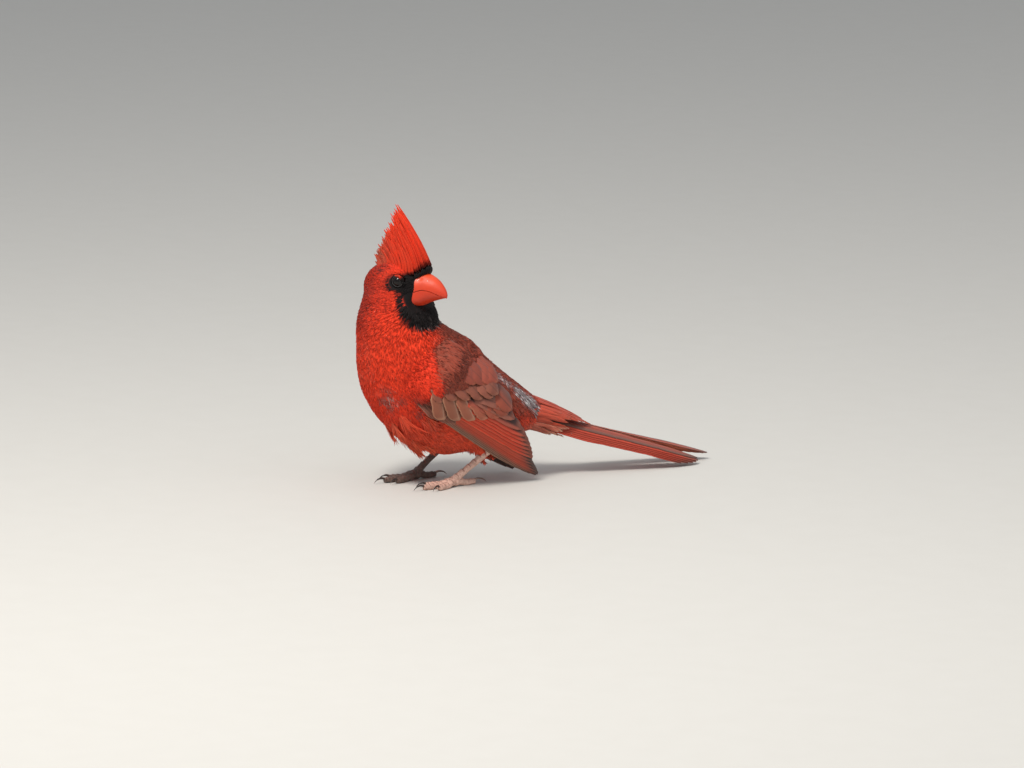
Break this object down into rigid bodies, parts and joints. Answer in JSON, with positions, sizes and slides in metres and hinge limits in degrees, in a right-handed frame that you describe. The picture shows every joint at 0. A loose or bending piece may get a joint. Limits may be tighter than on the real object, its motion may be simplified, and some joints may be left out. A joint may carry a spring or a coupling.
{
  "type": "northern cardinal",
  "caption": "Life-size still model of a male northern cardinal standing with its crest raised and its head turned over its left shoulder.",
  "frame": {"origin": "middle of the base of the whole bird's box, on the floor it stands on", "axes": "breast towards -Y and tail towards +Y, the bird's left side +X, up +Z"},
  "size_m": [0.062, 0.1916, 0.1402],
  "materials": {
    "red_plumage": "soft matt feathers, orange-red",
    "bright_plumage": "soft matt feathers, bright orange-red with a black mask at the bill",
    "wing_plumage": "smooth flight feathers, russet with red webs and dusky edges",
    "bill": "smooth coral horn, low sheen",
    "eye": "very dark brown, wet and glossy",
    "leg_scales": "dull scaled skin, flesh pink to brown",
    "claw_horn": "dark horn, low sheen"
  },
  "bodies": {
    "root": {"torso": "red_plumage", "neck": "bright_plumage", "head": "bright_plumage", "crest": "bright_plumage", "bill_upper": "bill", "bill_lower": "bill", "eye_left": "eye", "eye_right": "eye", "wing_left": "wing_plumage", "wing_right": "wing_plumage", "tail": "wing_plumage", "thigh_left": "red_plumage", "thigh_right": "red_plumage", "shank_left": "leg_scales", "shank_right": "leg_scales", "foot_left": "leg_scales", "foot_right": "leg_scales", "claw_left_inner": "claw_horn", "claw_left_middle": "claw_horn", "claw_left_outer": "claw_horn", "claw_left_hind": "claw_horn", "claw_right_inner": "claw_horn", "claw_right_middle": "claw_horn", "claw_right_outer": "claw_horn", "claw_right_hind": "claw_horn"}
  },
  "joints": []
}
